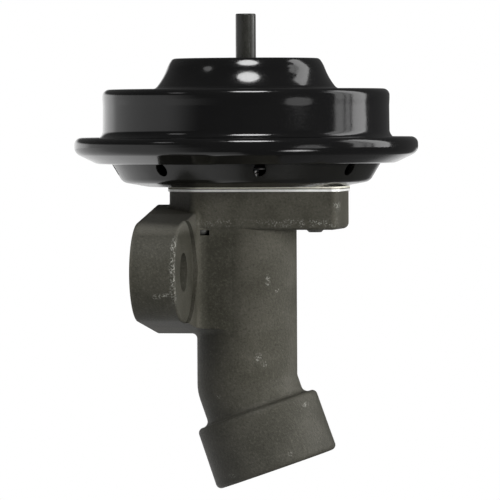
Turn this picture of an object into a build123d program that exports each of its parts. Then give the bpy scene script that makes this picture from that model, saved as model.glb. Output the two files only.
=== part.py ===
from build123d import *

import os
from math import atan2, cos, degrees, hypot, radians, sin, sqrt, tan

# Vacuum-operated exhaust gas recirculation valve. Millimetres.
# The origin is the centre of the outlet port in the mounting face. The outlet opens to -X and
# the stem stands along +Z, stem_x behind the mounting face. The valve is modelled closed.

# ---- Driving dimensions ------------------------------------------------------------------

# Casting: mounting flange and outlet
stem_x = 21.4  # mounting face to stem axis
bolt_spacing = 50.8
bolt_hole_r = 4.6
lobe_r = 11.7
flange_waist_r = 15.5  # half height of the flange at its middle
flange_t = 11.6
flange_edge_r = 0.6
spotface_r = 12.2
spotface_depth = 0.85
lobe_edge_r = 0.5
outlet_r = 8.0
outlet_depth = 8.0
passage_bore_step = 0.8  # outlet port to the narrower bore behind it
passage_inset = 0.1  # passage's side inside the neck's side
passage_fillet_r = 2.5
passage_root_r = 1.3

# Casting: neck and inlet boss
neck_r = 12.0
elbow_z = -27.4  # where the neck's axis bends
inlet_tilt = 19.3  # degrees from straight down, leaning away from the flange
boss_start = 6.6  # elbow to the boss, along the tilted axis
boss_h = 15.2
boss_step = 3.0  # neck's side to boss's side
boss_draft = 0.5  # degrees
inlet_thread_r = 11.2
inlet_thread_depth = 12.0
inlet_bore_r = 6.5
inlet_lead = 0.8  # chamfer at the mouth of the thread

# Casting: head block
block_bottom_z = 9.6
block_h = 9.1
block_start = 3.55  # mounting face to the block
block_l = 41.9
block_w = 25.0
block_corner_cut = 6.8  # the two corners beside the screws
block_corner_r = 1.65
block_cut_r = 3.0
block_edge_r = 1.5
block_root_r = 1.2  # fillet between block and flange

# Machined bore, seat and guide
stem_bore_r = 8.5
seat_drop = 1.5  # outlet's lowest point down to the seat
seat_h = 4.5
seat_hole_r = 5.5
seat_chamfer = 1.0
guide_rise = 1.2  # outlet's highest point up to the guide
packing_pocket_r = 6.2
packing_h = 3.4
retainer_t = 0.9

# Stem and pintle
stem_r = 3.0
lift = 6.0
lift_spare = 0.4  # guide to pintle when fully open
pintle_r = 6.9
pintle_neck_r = 4.4
pintle_tip_r = 2.4
pintle_nose_h = 7.4
pintle_socket_h = 6.5
pintle_collar_h = 5.5  # pintle's top to its wide part
stem_thread_r = 2.0
stem_thread_end = 0.6  # thread above the nut
stem_edge = 0.4

# Shield, gasket and housing screws
shield_t = 0.55
gasket_t = 0.6
shield_margin = 0.35
clear_hole_r = 4.4  # opening round the stem in shield, gasket and bowl
screw_r = 2.0
screw_near_x = 8.9  # stem axis to the screw over the flange
screw_far_x = 15.1  # stem axis to the other screw
screw_inset = 3.0  # block's long side to the screw's axis
screw_tip = 1.0  # screw end below the block
screw_tip_edge = 0.5
screw_head_r = 3.6
screw_head_h = 2.0
screw_head_edge_r = 0.7
screw_slot_w = 1.0
screw_slot_depth = 1.1
screw_washer_t = 0.8
screw_relief_r = 3.1

# Lower bowl
bowl_t = 1.0
bowl_depth = 6.75  # bowl's floor to the underside of its flange
bowl_slope_w = 6.1  # width of the slope between floor and wall
bowl_turn_rise = 1.1
bowl_wall_angle = 30.9  # degrees from straight up
bowl_floor_turn_r = 6.0
bowl_wall_turn_r = 2.4
bowl_root_r = 0.6  # between wall and flange
vent_r = 1.55
vent_rise = 4.25
vent_count = 8
vent_angle = -73.8  # first vent, degrees from +X

# Upper cover
cover_t = 1.2
rim_w = 6.8  # cover's wall to the rim's edge
rim_h = 6.6
rim_valley_drop = 1.1  # rim's crest down to the valley beside the wall
rim_roll_h = 2.65
rim_roll_w = 5.5  # rim's edge to where the rolled edge turns flat under the flange
seam_w = 2.72  # from there to the bowl's wall
rim_turn_r = 2.2
crest_turn_r = 1.7
seam_turn_r = 3.0  # bowl's flange and rolled edge, where they turn flat
valley_turn_r = 3.0
cover_wall_r = 34.4
cover_wall_h = 12.3
shoulder_r = 2.3
dome_top_r = 18.35
dome_h = 7.35
dome_flare_w = 1.25  # top to waist
dome_foot_w = 2.7  # waist to foot
dome_waist_rise = 3.15
dome_foot_turn_r = 2.0
dome_top_turn_r = 2.0

# Vacuum nipple
nipple_r = 2.42
nipple_root_r = 2.2  # through the cover
nipple_bore_r = 1.3
nipple_h = 10.7
nipple_edge = 0.4
nipple_flange_r = 3.8
nipple_flange_t = 0.8

# Diaphragm, plates and spring
diaphragm_t = 0.9
diaphragm_turn_r = 4.0
bead_w = 2.6
shoulder_washer_r = 4.5
shoulder_washer_t = 0.6
lower_plate_r = 19.5
lower_plate_t = 1.0
lower_plate_edge_r = 0.35
cup_t = 0.9
cup_r = 22.4
cup_h = 5.4
cup_draft = 0.9
cup_corner_r = 1.8
stem_washer_r = 6.0
stem_washer_t = 0.8
nut_across_flats = 7.0
nut_h = 3.2
spring_wire_r = 0.95
spring_turns = 4.5
spring_seat_w = 4.1  # seat's edge to its lip
spring_seat_lip_h = 2.6
spring_seat_t = 0.8

# Clearances
running_gap = 0.03  # stem in its guide
press_gap = 0.02  # pressed-in rings and sleeves
seam_gap = 0.05  # pressed sheets lying against each other
loose_gap = 0.25  # holes round screws and rings in pockets
edge_gap = 0.5  # bowl's edge inside the rim
bead_gap = 0.8  # diaphragm's bead inside the rim
spring_gap = 0.45  # spring round the lip of its seat
spring_seat_gap = 0.75  # spring's seat inside the dome
seat_gap = 0.1  # closed pintle to its seat
head_gap = 0.75  # screw heads to the lower plate

# ---- Levels and radii that follow --------------------------------------------------------

boss_r = neck_r + boss_step
boss_edge_r = 0.42 * boss_step
neck_root_r = 0.5 * boss_step  # fillet between neck and boss
block_x = block_start + block_l / 2
screw_y = block_w / 2 - screw_inset
screw_places = [(stem_x - screw_near_x, -screw_y), (stem_x + screw_far_x, screw_y)]

block_top_z = block_bottom_z + block_h
gasket_z = block_top_z + shield_t
bowl_z = gasket_z + gasket_t
bowl_flange_z = bowl_z + bowl_depth
seat_top_z = -outlet_r - seat_drop
guide_z = outlet_r + guide_rise
packing_z = block_top_z - retainer_t - packing_h

rim_z = bowl_flange_z - seam_gap - cover_t
crest_z = rim_z + rim_h
valley_z = crest_z - rim_valley_drop
shoulder_z = valley_z + cover_wall_h
dome_z = shoulder_z + dome_h
dome_under_z = dome_z - cover_t

head_z = bowl_z + bowl_t + screw_washer_t
plate_z = head_z + screw_head_h + head_gap
diaphragm_z = plate_z + lower_plate_t
cup_z = diaphragm_z + diaphragm_t
nut_z = cup_z + cup_t + stem_washer_t
stem_end_z = nut_z + nut_h + stem_thread_end
stem_shoulder_z = plate_z - shoulder_washer_t

stem_section = Plane(origin=(stem_x, 0, 0), x_dir=(1, 0, 0), z_dir=(0, -1, 0))
stem_axis = Axis((stem_x, 0, 0), (0, 0, 1))
tilt = radians(inlet_tilt)
inlet_plane = Plane(
    origin=(stem_x, 0, elbow_z),
    x_dir=(cos(tilt), 0, sin(tilt)),
    z_dir=(sin(tilt), 0, -cos(tilt)),
)

wall_slope = tan(radians(bowl_wall_angle))
bowl_turn_z = bowl_z + bowl_turn_rise
rim_r = cover_wall_r + rim_w
rim_roll_r = rim_r - rim_roll_w
bowl_turn_r = rim_roll_r - seam_w - (bowl_flange_z - bowl_turn_z) * wall_slope
bead_outer_r = rim_r - cover_t - bead_gap
bead_inner_r = bead_outer_r - bead_w

dome_waist_r = dome_top_r + dome_flare_w
dome_foot_r = dome_waist_r + dome_foot_w
dome_waist_turn_r = 3.8 * dome_waist_rise
spring_seat_r = dome_top_r - cover_t - spring_seat_gap
spring_seat_lip_r = spring_seat_r - spring_seat_w
spring_r = spring_seat_lip_r + spring_seat_t + spring_gap + spring_wire_r

os.makedirs("parts", exist_ok=True)

# ---- Casting -----------------------------------------------------------------------------

# The flange's outline runs round two bolt lobes and a waist circle, along their tangents.
band_sin = (flange_waist_r - lobe_r) / (bolt_spacing / 2)
band_angle = degrees(atan2(band_sin, sqrt(1 - band_sin**2)))

with BuildSketch(Plane.YZ) as flange_outline:
    with BuildLine():
        lobe = CenterArc((bolt_spacing / 2, 0), lobe_r, band_angle - 90, 180 - 2 * band_angle)
        other_lobe = CenterArc((-bolt_spacing / 2, 0), lobe_r, band_angle + 90, 180 - 2 * band_angle)
        waist_top = CenterArc((0, 0), flange_waist_r, 90 - band_angle, 2 * band_angle)
        waist_bottom = CenterArc((0, 0), flange_waist_r, -90 - band_angle, 2 * band_angle)
        Line(lobe @ 1, waist_top @ 0)
        Line(waist_top @ 1, other_lobe @ 0)
        Line(other_lobe @ 1, waist_bottom @ 0)
        Line(waist_bottom @ 1, lobe @ 0)
    make_face()

with BuildPart() as flange_plate:
    extrude(flange_outline.sketch, amount=flange_t)
    fillet(faces().sort_by(Axis.X)[-1].edges(), flange_edge_r)

# The passage is about as wide as the neck, filleted into the back of the flange, and has the
# flange's outline below.
passage_half_w = neck_r - passage_inset
with BuildPart() as side_passage:
    with BuildSketch(Plane.XY.offset(-flange_waist_r)) as passage_plan:
        with Locations((stem_x / 2, 0)):
            Rectangle(stem_x, 2 * passage_half_w)
        with Locations((flange_t / 2, 0)):
            Rectangle(flange_t, bolt_spacing)
        inner_corners = passage_plan.vertices().filter_by(
            lambda v: abs(abs(v.Y) - passage_half_w) < 0.01 and v.X < stem_x - 0.01
        )
        fillet(inner_corners, passage_fillet_r)
    extrude(amount=flange_waist_r + block_bottom_z + block_edge_r / 3)
    extrude(flange_outline.sketch, amount=stem_x, mode=Mode.INTERSECT)

# The head block has two corners cut back beside the screws.
cut_x = block_l / 2 - block_corner_cut
cut_y = block_w / 2 - block_corner_cut
with BuildSketch() as block_outline:
    with BuildLine():
        Polyline(
            (-block_l / 2, block_w / 2),
            (-block_l / 2, -cut_y),
            (-cut_x, -block_w / 2),
            (block_l / 2, -block_w / 2),
            (block_l / 2, cut_y),
            (cut_x, block_w / 2),
            close=True,
        )
    make_face()
    square_corners = block_outline.vertices().filter_by(
        lambda v: abs(abs(v.X) - block_l / 2) < 0.01 and abs(abs(v.Y) - block_w / 2) < 0.01
    )
    fillet(square_corners, block_corner_r)
    cut_corners = block_outline.vertices().filter_by(
        lambda v: (abs(abs(v.X) - block_l / 2) < 0.01 and abs(abs(v.Y) - cut_y) < 0.01)
        or (abs(abs(v.X) - cut_x) < 0.01 and abs(abs(v.Y) - block_w / 2) < 0.01)
    )
    fillet(cut_corners, block_cut_r)

with BuildPart() as head_block:
    with Locations((block_x, 0, block_bottom_z)):
        add(block_outline.sketch)
    extrude(amount=block_h)
    fillet(faces().sort_by(Axis.Z)[0].edges(), block_edge_r)

with BuildPart() as neck:
    with BuildSketch(Plane.XY.offset(elbow_z)):
        with Locations((stem_x, 0)):
            Circle(neck_r)
    extrude(amount=block_bottom_z + block_edge_r - elbow_z)
    with Locations((stem_x, 0, elbow_z)):
        Sphere(neck_r)
    with BuildSketch(inlet_plane):
        Circle(neck_r)
    extrude(amount=boss_start + boss_h / 2)

with BuildPart() as inlet_boss:
    with BuildSketch(inlet_plane.offset(boss_start)):
        Circle(boss_r)
    extrude(amount=boss_h, taper=-boss_draft)
    fillet(edges().filter_by(GeomType.CIRCLE), boss_edge_r)


def under_passage(edge):
    """True for an edge round the neck's wall where the passage's underside meets it."""
    on_wall = all(abs(hypot(p.X - stem_x, p.Y) - neck_r) < 0.02 for p in (edge @ 0, edge @ 0.5, edge @ 1))
    return on_wall and abs((edge % 0.5).Z) < 0.9 and elbow_z < edge.center().Z < -outlet_r


def at_neck_end(edge):
    """True for the circle where the neck enters the boss."""
    boss_centre = inlet_plane.offset(boss_start).origin
    return (edge.arc_center - boss_centre).length < 0.01 and edge.radius < neck_r + 0.01


def on_block_foot(edge):
    """True for an edge where the block stands on the flange."""
    middle = edge @ 0.5
    beside_block = block_x - block_l / 2 - 0.1 < middle.X < flange_t + 0.1
    under_block = abs(middle.Y) < block_w / 2 + 0.1 and lobe_r + 1 < middle.Z < flange_waist_r + 0.1
    return beside_block and under_block and abs((edge % 0.5).Z) < 0.5


with BuildPart() as valve_body:
    add(neck.part)
    add(inlet_boss.part)
    add(side_passage.part)
    add(flange_plate.part)
    add(head_block.part)

    # Cast fillets between neck and boss, under the passage and round the block's foot
    fillet(edges().filter_by(GeomType.CIRCLE).filter_by(at_neck_end), neck_root_r)
    fillet(edges().filter_by(under_passage), passage_root_r)
    fillet(edges().filter_by(on_block_foot), block_root_r)

    # Outlet port, and the narrower bore from it to the stem axis
    with BuildSketch(Plane.YZ):
        Circle(outlet_r)
    extrude(amount=outlet_depth, mode=Mode.SUBTRACT)
    with BuildSketch(Plane.YZ):
        Circle(outlet_r - passage_bore_step)
    extrude(amount=stem_x, mode=Mode.SUBTRACT)

    # Bolt holes, the spotfaces behind them, and the lobes' rounded rear edges
    spotface_x = flange_t - spotface_depth
    with BuildSketch(Plane.YZ):
        with Locations((-bolt_spacing / 2, 0), (bolt_spacing / 2, 0)):
            Circle(bolt_hole_r)
    extrude(amount=flange_t, mode=Mode.SUBTRACT)
    with BuildSketch(Plane.YZ.offset(spotface_x)):
        with Locations((-bolt_spacing / 2, 0), (bolt_spacing / 2, 0)):
            Circle(spotface_r)
    extrude(amount=spotface_depth + 2 * passage_fillet_r, mode=Mode.SUBTRACT)
    rear_edges = edges().filter_by_position(Axis.X, spotface_x - 0.01, spotface_x + 0.01)
    lobe_edges = rear_edges.filter_by(GeomType.CIRCLE).filter_by(lambda e: abs(e.radius - lobe_r) < 0.01)
    fillet(lobe_edges, lobe_edge_r)

    # Stepped bore for seat, chamber and guide, down to the elbow
    with BuildSketch(Plane.XY.offset(block_top_z)):
        with Locations((stem_x, 0)):
            Circle(stem_bore_r)
    extrude(amount=seat_top_z - seat_h - block_top_z, mode=Mode.SUBTRACT)
    with BuildSketch(Plane.XY.offset(seat_top_z)):
        with Locations((stem_x, 0)):
            Circle(inlet_bore_r)
    extrude(amount=elbow_z - seat_top_z, mode=Mode.SUBTRACT)

    # Inlet, drilled along the tilted axis and tapped
    with Locations((stem_x, 0, elbow_z)):
        Sphere(inlet_bore_r, mode=Mode.SUBTRACT)
    with BuildSketch(inlet_plane):
        Circle(inlet_bore_r)
    extrude(amount=boss_start + boss_h, mode=Mode.SUBTRACT)
    with BuildSketch(inlet_plane.offset(boss_start + boss_h - inlet_thread_depth)):
        Circle(inlet_thread_r)
    extrude(amount=inlet_thread_depth, mode=Mode.SUBTRACT)
    with BuildSketch(inlet_plane.offset(boss_start + boss_h)):
        Circle(inlet_thread_r + inlet_lead)
    extrude(amount=-inlet_lead, taper=45, mode=Mode.SUBTRACT)

    # Screw holes through the block, with room for the screw ends under it
    with BuildSketch(Plane.XY.offset(block_top_z)):
        with Locations(*screw_places):
            Circle(screw_r + press_gap)
    extrude(amount=-block_h - screw_tip, mode=Mode.SUBTRACT)
    with BuildSketch(Plane.XY.offset(block_bottom_z)):
        with Locations(*screw_places):
            Circle(screw_relief_r)
    extrude(amount=-screw_tip - loose_gap, mode=Mode.SUBTRACT)

valve_body.part.label = "valve_body"
export_step(valve_body.part, "parts/valve_body.step")

# ---- Seat and guide pressed in the bore --------------------------------------------------

with BuildPart() as valve_seat:
    with BuildSketch(stem_section):
        with BuildLine():
            Polyline(
                (seat_hole_r, seat_top_z - seat_h),
                (stem_bore_r - press_gap, seat_top_z - seat_h),
                (stem_bore_r - press_gap, seat_top_z),
                (seat_hole_r + seat_chamfer, seat_top_z),
                (seat_hole_r, seat_top_z - seat_chamfer),
                close=True,
            )
        make_face()
    revolve(axis=stem_axis)
valve_seat.part.label = "valve_seat"
export_step(valve_seat.part, "parts/valve_seat.step")

with BuildPart() as guide_bushing:
    with BuildSketch(stem_section):
        with BuildLine():
            Polyline(
                (stem_r + running_gap, guide_z),
                (stem_bore_r - press_gap, guide_z),
                (stem_bore_r - press_gap, block_top_z),
                (packing_pocket_r, block_top_z),
                (packing_pocket_r, packing_z),
                (stem_r + running_gap, packing_z),
                close=True,
            )
        make_face()
    revolve(axis=stem_axis)
guide_bushing.part.label = "guide_bushing"
export_step(guide_bushing.part, "parts/guide_bushing.step")

with BuildPart() as stem_packing:
    with BuildSketch(Plane.XY.offset(packing_z)):
        with Locations((stem_x, 0)):
            Circle(packing_pocket_r - press_gap)
            Circle(stem_r + running_gap, mode=Mode.SUBTRACT)
    extrude(amount=packing_h)
stem_packing.part.label = "stem_packing"
export_step(stem_packing.part, "parts/stem_packing.step")

with BuildPart() as packing_retainer:
    with BuildSketch(Plane.XY.offset(packing_z + packing_h)):
        with Locations((stem_x, 0)):
            Circle(packing_pocket_r - press_gap)
            Circle(stem_r + loose_gap, mode=Mode.SUBTRACT)
    extrude(amount=retainer_t)
packing_retainer.part.label = "packing_retainer"
export_step(packing_retainer.part, "parts/packing_retainer.step")

# ---- Heat shield and gasket --------------------------------------------------------------

with BuildSketch() as shield_outline:
    with Locations((block_x, 0)):
        add(block_outline.sketch)
    offset(amount=shield_margin)
    with Locations((stem_x, 0)):
        Circle(clear_hole_r, mode=Mode.SUBTRACT)
    with Locations(*screw_places):
        Circle(screw_r + loose_gap, mode=Mode.SUBTRACT)

with BuildPart() as heat_shield:
    with Locations((0, 0, block_top_z)):
        add(shield_outline.sketch)
    extrude(amount=shield_t)
heat_shield.part.label = "heat_shield"
export_step(heat_shield.part, "parts/heat_shield.step")

with BuildPart() as base_gasket:
    with Locations((0, 0, gasket_z)):
        add(shield_outline.sketch)
    extrude(amount=gasket_t)
base_gasket.part.label = "base_gasket"
export_step(base_gasket.part, "parts/base_gasket.step")

# ---- Diaphragm housing -------------------------------------------------------------------

# The rolled rim of the cover and the bowl's flange follow one line. Its flat part starts at
# rim_roll_r and its slope is roll_angle.
roll_angle = atan2(rim_roll_h, rim_r - rim_roll_r)


def bowl_wall_r(z):
    """Outer radius of the bowl's wall at a height."""
    return bowl_turn_r + (z - bowl_turn_z) * wall_slope


# The rolled edge ends against the bowl's wall, where the wall turns into the flange.
bowl_root_run = bowl_root_r * tan(radians(90 - bowl_wall_angle) / 2)
roll_end_r = bowl_wall_r(bowl_flange_z) + bowl_root_run + seam_gap
flange_bend_r = rim_roll_r - (cover_t + seam_gap) * tan(roll_angle / 2)
bowl_edge_r = rim_r - cover_t - edge_gap
bowl_edge_z = bowl_flange_z + (bowl_edge_r - flange_bend_r) * tan(roll_angle)

with BuildPart() as lower_bowl:
    with BuildSketch(stem_section):
        with BuildLine():
            bowl_outside = FilletPolyline(
                (clear_hole_r, bowl_z),
                (bowl_turn_r - bowl_slope_w, bowl_z),
                (bowl_turn_r, bowl_turn_z),
                (bowl_wall_r(bowl_flange_z), bowl_flange_z),
                (flange_bend_r, bowl_flange_z),
                (bowl_edge_r, bowl_edge_z),
                radius=[bowl_floor_turn_r, bowl_wall_turn_r, bowl_root_r, seam_turn_r],
            )
            offset(bowl_outside, amount=bowl_t, side=Side.LEFT)
        make_face()
    revolve(axis=stem_axis)
    with Locations((stem_x, 0, bowl_z + vent_rise)):
        with PolarLocations(bowl_wall_r(bowl_z + vent_rise), vent_count, vent_angle):
            Cylinder(vent_r, 6 * bowl_t, rotation=(0, 90, 0), mode=Mode.SUBTRACT)
    with BuildSketch(Plane.XY.offset(bowl_z)):
        with Locations(*screw_places):
            Circle(screw_r + loose_gap)
    extrude(amount=bowl_t, mode=Mode.SUBTRACT)
lower_bowl.part.label = "lower_bowl"
export_step(lower_bowl.part, "parts/lower_bowl.step")

with BuildPart() as upper_cover:
    with BuildSketch(stem_section):
        with BuildLine():
            cover_outside = FilletPolyline(
                (nipple_root_r + press_gap, dome_z),
                (dome_top_r, dome_z),
                (dome_waist_r, shoulder_z + dome_waist_rise),
                (dome_foot_r, shoulder_z),
                (cover_wall_r, shoulder_z),
                (cover_wall_r, valley_z),
                (rim_r, crest_z),
                (rim_r, rim_z + rim_roll_h),
                (rim_roll_r, rim_z),
                (roll_end_r, rim_z),
                radius=[
                    dome_top_turn_r,
                    dome_waist_turn_r,
                    dome_foot_turn_r,
                    shoulder_r,
                    valley_turn_r,
                    crest_turn_r,
                    rim_turn_r,
                    seam_turn_r,
                ],
            )
            offset(cover_outside, amount=cover_t, side=Side.RIGHT)
        make_face()
    revolve(axis=stem_axis)
upper_cover.part.label = "upper_cover"
export_step(upper_cover.part, "parts/upper_cover.step")

with BuildPart() as vacuum_nipple:
    with BuildSketch(stem_section):
        with BuildLine():
            Polyline(
                (nipple_bore_r, dome_under_z - nipple_flange_t),
                (nipple_flange_r, dome_under_z - nipple_flange_t),
                (nipple_flange_r, dome_under_z),
                (nipple_root_r, dome_under_z),
                (nipple_root_r, dome_z),
                (nipple_r, dome_z),
                (nipple_r, dome_z + nipple_h - nipple_edge),
                (nipple_r - nipple_edge, dome_z + nipple_h),
                (nipple_bore_r, dome_z + nipple_h),
                close=True,
            )
        make_face()
    revolve(axis=stem_axis)
vacuum_nipple.part.label = "vacuum_nipple"
export_step(vacuum_nipple.part, "parts/vacuum_nipple.step")

with BuildPart() as housing_screws:
    with BuildSketch(Plane.XY.offset(block_bottom_z - screw_tip)):
        with Locations(*screw_places):
            Circle(screw_r)
    extrude(amount=head_z - block_bottom_z + screw_tip)
    chamfer(faces().sort_by(Axis.Z)[:2].edges(), screw_tip_edge)
    with BuildSketch(Plane.XY.offset(head_z)):
        with Locations(*screw_places):
            Circle(screw_head_r)
    extrude(amount=screw_head_h)
    fillet(faces().sort_by(Axis.Z)[-2:].edges(), screw_head_edge_r)
    with BuildSketch(Plane.XY.offset(head_z + screw_head_h)):
        with Locations(*screw_places):
            Rectangle(2 * screw_head_r, screw_slot_w)
    extrude(amount=-screw_slot_depth, mode=Mode.SUBTRACT)
housing_screws.part.label = "housing_screws"
export_step(housing_screws.part, "parts/housing_screws.step")

with BuildPart() as screw_washers:
    with BuildSketch(Plane.XY.offset(bowl_z + bowl_t)):
        with Locations(*screw_places):
            Circle(screw_head_r)
            Circle(screw_r + loose_gap / 2, mode=Mode.SUBTRACT)
    extrude(amount=screw_washer_t)
screw_washers.part.label = "screw_washers"
export_step(screw_washers.part, "parts/screw_washers.step")

# ---- Moving stem -------------------------------------------------------------------------

# The pintle closes on the seat's chamfer. Its nose reaches into the seat's hole.
cone_low_r = seat_hole_r - 3.5 * seat_gap
cone_low_z = seat_top_z - seat_chamfer - seat_hole_r + cone_low_r + seat_gap * sqrt(2)
cone_high_z = cone_low_z + pintle_r - cone_low_r
pintle_top_z = guide_z - lift - lift_spare
pintle_body_z = pintle_top_z - pintle_collar_h

with BuildPart() as pintle:
    with BuildSketch(stem_section):
        with BuildLine():
            Polyline(
                (0, cone_low_z - pintle_nose_h),
                (pintle_tip_r, cone_low_z - pintle_nose_h),
                (cone_low_r, cone_low_z),
                (pintle_r, cone_high_z),
                (pintle_r, pintle_body_z - pintle_r + pintle_neck_r),
                (pintle_neck_r, pintle_body_z),
                (pintle_neck_r, pintle_top_z),
                (stem_r + press_gap, pintle_top_z),
                (stem_r + press_gap, pintle_top_z - pintle_socket_h),
                (0, pintle_top_z - pintle_socket_h),
                close=True,
            )
        make_face()
    revolve(axis=stem_axis)
pintle.part.label = "pintle"
export_step(pintle.part, "parts/pintle.step")

with BuildPart() as valve_stem:
    with BuildSketch(stem_section):
        with BuildLine():
            Polyline(
                (0, pintle_top_z - pintle_socket_h),
                (stem_r, pintle_top_z - pintle_socket_h),
                (stem_r, stem_shoulder_z),
                (stem_thread_r, stem_shoulder_z),
                (stem_thread_r, stem_end_z - stem_edge),
                (stem_thread_r - stem_edge, stem_end_z),
                (0, stem_end_z),
                close=True,
            )
        make_face()
    revolve(axis=stem_axis)
valve_stem.part.label = "valve_stem"
export_step(valve_stem.part, "parts/valve_stem.step")

with BuildPart() as shoulder_washer:
    with BuildSketch(Plane.XY.offset(stem_shoulder_z)):
        with Locations((stem_x, 0)):
            Circle(shoulder_washer_r)
            Circle(stem_thread_r + press_gap, mode=Mode.SUBTRACT)
    extrude(amount=shoulder_washer_t)
shoulder_washer.part.label = "shoulder_washer"
export_step(shoulder_washer.part, "parts/shoulder_washer.step")

with BuildPart() as lower_plate:
    with BuildSketch(Plane.XY.offset(plate_z)):
        with Locations((stem_x, 0)):
            Circle(lower_plate_r)
            Circle(stem_thread_r + press_gap, mode=Mode.SUBTRACT)
    extrude(amount=lower_plate_t)
    fillet(edges().filter_by(GeomType.CIRCLE).sort_by(SortBy.LENGTH)[-2:], lower_plate_edge_r)
lower_plate.part.label = "lower_plate"
export_step(lower_plate.part, "parts/lower_plate.step")

# The diaphragm lies flat between the plates, rises over the bowl's inner edge, and ends in a
# bead clamped between the flanges.
bowl_bead_z = bowl_flange_z + bowl_t / cos(roll_angle)
rim_angle = atan2(rim_valley_drop, rim_r - cover_wall_r)


def bead_low_z(r):
    """Top of the bowl's flange at a radius."""
    return bowl_bead_z + (r - flange_bend_r) * tan(roll_angle) + seam_gap


def bead_high_z(r):
    """Underside of the cover's flange at a radius."""
    return valley_z + (r - cover_wall_r) * tan(rim_angle) - cover_t / cos(rim_angle) - seam_gap


bead_mid_z = (bead_low_z(bead_inner_r) + bead_high_z(bead_inner_r)) / 2
bowl_inner_r = bowl_wall_r(bowl_flange_z) - bowl_t

with BuildPart() as diaphragm:
    with BuildSketch(stem_section):
        with BuildLine():
            underside = FilletPolyline(
                (stem_thread_r + press_gap, diaphragm_z),
                (cup_r + loose_gap, diaphragm_z),
                (bowl_inner_r, bowl_flange_z + bowl_t + loose_gap),
                (bead_inner_r + diaphragm_t / 2, bead_mid_z - diaphragm_t / 2),
                radius=[diaphragm_turn_r, diaphragm_turn_r],
            )
            offset(underside, amount=diaphragm_t, side=Side.LEFT)
        make_face()
        with BuildLine():
            Polyline(
                (bead_inner_r, bead_low_z(bead_inner_r)),
                (bead_outer_r, bead_low_z(bead_outer_r)),
                (bead_outer_r, bead_high_z(bead_outer_r)),
                (bead_inner_r, bead_high_z(bead_inner_r)),
                close=True,
            )
        make_face()
    revolve(axis=stem_axis)
diaphragm.part.label = "diaphragm"
export_step(diaphragm.part, "parts/diaphragm.step")

with BuildPart() as support_cup:
    with BuildSketch(stem_section):
        with BuildLine():
            cup_outside = FilletPolyline(
                (stem_thread_r + press_gap, cup_z),
                (cup_r - cup_draft, cup_z),
                (cup_r, cup_z + cup_h),
                radius=[cup_corner_r],
            )
            offset(cup_outside, amount=cup_t, side=Side.LEFT)
        make_face()
    revolve(axis=stem_axis)
support_cup.part.label = "support_cup"
export_step(support_cup.part, "parts/support_cup.step")

with BuildPart() as stem_washer:
    with BuildSketch(Plane.XY.offset(cup_z + cup_t)):
        with Locations((stem_x, 0)):
            Circle(stem_washer_r)
            Circle(stem_thread_r + press_gap, mode=Mode.SUBTRACT)
    extrude(amount=stem_washer_t)
stem_washer.part.label = "stem_washer"
export_step(stem_washer.part, "parts/stem_washer.step")

with BuildPart() as stem_nut:
    with BuildSketch(Plane.XY.offset(nut_z)):
        with Locations((stem_x, 0)):
            RegularPolygon(nut_across_flats / 2, 6, major_radius=False)
            Circle(stem_thread_r + press_gap, mode=Mode.SUBTRACT)
    extrude(amount=nut_h)
stem_nut.part.label = "stem_nut"
export_step(stem_nut.part, "parts/stem_nut.step")

# ---- Return spring and its upper seat ----------------------------------------------------

with BuildPart() as spring_seat:
    with BuildSketch(stem_section):
        with BuildLine():
            seat_topside = FilletPolyline(
                (spring_seat_r, dome_under_z),
                (spring_seat_lip_r, dome_under_z),
                (spring_seat_lip_r, dome_under_z - spring_seat_lip_h),
                radius=[spring_seat_t / 2],
            )
            offset(seat_topside, amount=spring_seat_t, side=Side.LEFT)
        make_face()
    revolve(axis=stem_axis)
spring_seat.part.label = "spring_seat"
export_step(spring_seat.part, "parts/spring_seat.step")

# The coil runs past both seats and is ground flat on them.
spring_low_z = cup_z + cup_t
spring_high_z = dome_under_z - spring_seat_t
spring_h = spring_high_z - spring_low_z
spring_pitch = (spring_h - spring_wire_r) / spring_turns

with BuildPart() as return_spring:
    with BuildLine():
        coil_start = (stem_x, 0, spring_low_z + spring_wire_r / 2)
        coil = Helix(spring_pitch, spring_h - spring_wire_r, spring_r, center=coil_start)
    with BuildSketch(Plane(origin=coil @ 0, z_dir=coil % 0)):
        Circle(spring_wire_r)
    sweep()
    with BuildSketch(Plane.XY.offset(spring_low_z)):
        with Locations((stem_x, 0)):
            Circle(spring_r + 2 * spring_wire_r)
    extrude(amount=spring_h, mode=Mode.INTERSECT)
return_spring.part.label = "return_spring"
export_step(return_spring.part, "parts/return_spring.step")
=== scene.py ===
import bpy
import math
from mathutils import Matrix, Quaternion, Vector


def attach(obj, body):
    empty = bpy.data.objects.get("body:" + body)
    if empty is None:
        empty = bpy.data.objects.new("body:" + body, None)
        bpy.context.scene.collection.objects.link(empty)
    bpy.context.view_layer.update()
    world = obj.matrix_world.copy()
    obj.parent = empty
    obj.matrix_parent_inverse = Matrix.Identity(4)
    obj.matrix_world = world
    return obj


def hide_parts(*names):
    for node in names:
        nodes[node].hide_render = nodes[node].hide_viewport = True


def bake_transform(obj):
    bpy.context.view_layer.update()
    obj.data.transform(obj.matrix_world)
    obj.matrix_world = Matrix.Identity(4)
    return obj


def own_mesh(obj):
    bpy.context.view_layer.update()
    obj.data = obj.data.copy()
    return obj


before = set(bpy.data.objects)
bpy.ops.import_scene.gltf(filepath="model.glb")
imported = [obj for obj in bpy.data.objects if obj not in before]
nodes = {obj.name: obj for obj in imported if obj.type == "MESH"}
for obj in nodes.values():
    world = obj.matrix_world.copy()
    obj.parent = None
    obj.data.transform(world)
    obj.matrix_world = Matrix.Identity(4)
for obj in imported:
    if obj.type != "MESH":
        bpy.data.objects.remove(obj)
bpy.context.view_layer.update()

# ---- Camera ------------------------------------------------------------------------------
# A long lens on a tripod, just above the middle of the valve and ten degrees round from its
# side, looking a little down.

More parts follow.
